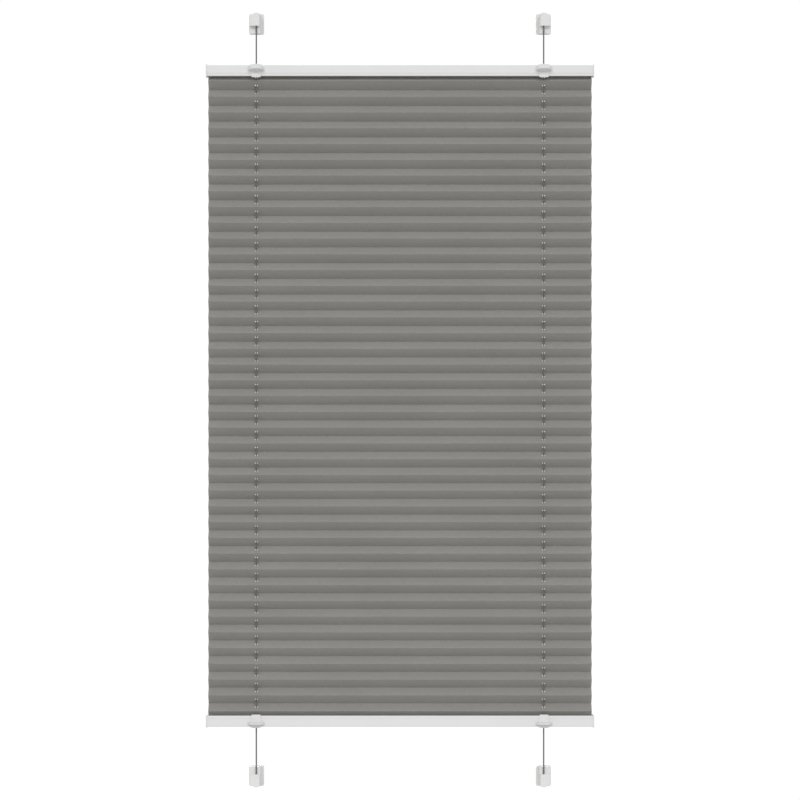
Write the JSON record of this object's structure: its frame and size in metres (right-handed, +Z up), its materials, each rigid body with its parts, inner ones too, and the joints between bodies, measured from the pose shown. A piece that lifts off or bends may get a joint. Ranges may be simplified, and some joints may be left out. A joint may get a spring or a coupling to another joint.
{
  "type": "pleated blind",
  "caption": "No-drill pleated window blind: a folded cloth between two rails that slide up and down on taut vertical cords held by stick-on brackets.",
  "frame": {"origin": "in the plane of the window, midway between the four brackets", "axes": "+X along the rails to the right as seen from the room, +Y out of the back towards the window, +Z up"},
  "size_m": [0.5, 0.0346, 0.9982],
  "materials": {
    "coated_aluminium": "white powder coat, satin",
    "white_plastic": "white moulded plastic, satin",
    "guide_plastic": "white moulded plastic",
    "clear_strip_plastic": "milky extruded plastic",
    "adhesive_foam": "double-sided foam tape",
    "cord": "dark grey braided cord",
    "pleated_cloth": "warm grey woven cloth, matt, pleat-set"
  },
  "bodies": {
    "window_fixings": {"left_upright_cord": "cord", "upper_left_base_plate": "white_plastic", "upper_left_adhesive_pad": "adhesive_foam", "upper_left_tension_shoe": "white_plastic", "upper_left_cord_knot": "cord", "lower_left_base_plate": "white_plastic", "lower_left_adhesive_pad": "adhesive_foam", "lower_left_tension_shoe": "white_plastic", "lower_left_cord_knot": "cord", "right_upright_cord": "cord", "upper_right_base_plate": "white_plastic", "upper_right_adhesive_pad": "adhesive_foam", "upper_right_tension_shoe": "white_plastic", "upper_right_cord_knot": "cord", "lower_right_base_plate": "white_plastic", "lower_right_adhesive_pad": "adhesive_foam", "lower_right_tension_shoe": "white_plastic", "lower_right_cord_knot": "cord", "pleated_fabric": "pleated_cloth"},
    "head_rail": {"head_rail_profile": "coated_aluminium", "head_rail_retaining_strip": "clear_strip_plastic", "head_rail_crossing_cord_front": "cord", "head_rail_crossing_cord_rear": "cord", "head_rail_left_end_cap": "white_plastic", "head_rail_left_cord_guide": "guide_plastic", "head_rail_left_handle": "white_plastic", "head_rail_right_end_cap": "white_plastic", "head_rail_right_cord_guide": "guide_plastic", "head_rail_right_handle": "white_plastic"},
    "bottom_rail": {"bottom_rail_profile": "coated_aluminium", "bottom_rail_retaining_strip": "clear_strip_plastic", "bottom_rail_crossing_cord_front": "cord", "bottom_rail_crossing_cord_rear": "cord", "bottom_rail_left_end_cap": "white_plastic", "bottom_rail_left_cord_guide": "guide_plastic", "bottom_rail_left_handle": "white_plastic", "bottom_rail_right_end_cap": "white_plastic", "bottom_rail_right_cord_guide": "guide_plastic", "bottom_rail_right_handle": "white_plastic"}
  },
  "joints": [
    {"name": "head_rail_slide", "type": "slide", "parent": "window_fixings", "child": "head_rail", "axis": [0, 0, 1], "range_m": [-0.395, 0.036], "deforming": ["pleated_fabric"]},
    {"name": "bottom_rail_slide", "type": "slide", "parent": "window_fixings", "child": "bottom_rail", "axis": [0, 0, 1], "range_m": [-0.046, 0.395], "deforming": ["pleated_fabric"]}
  ]
}
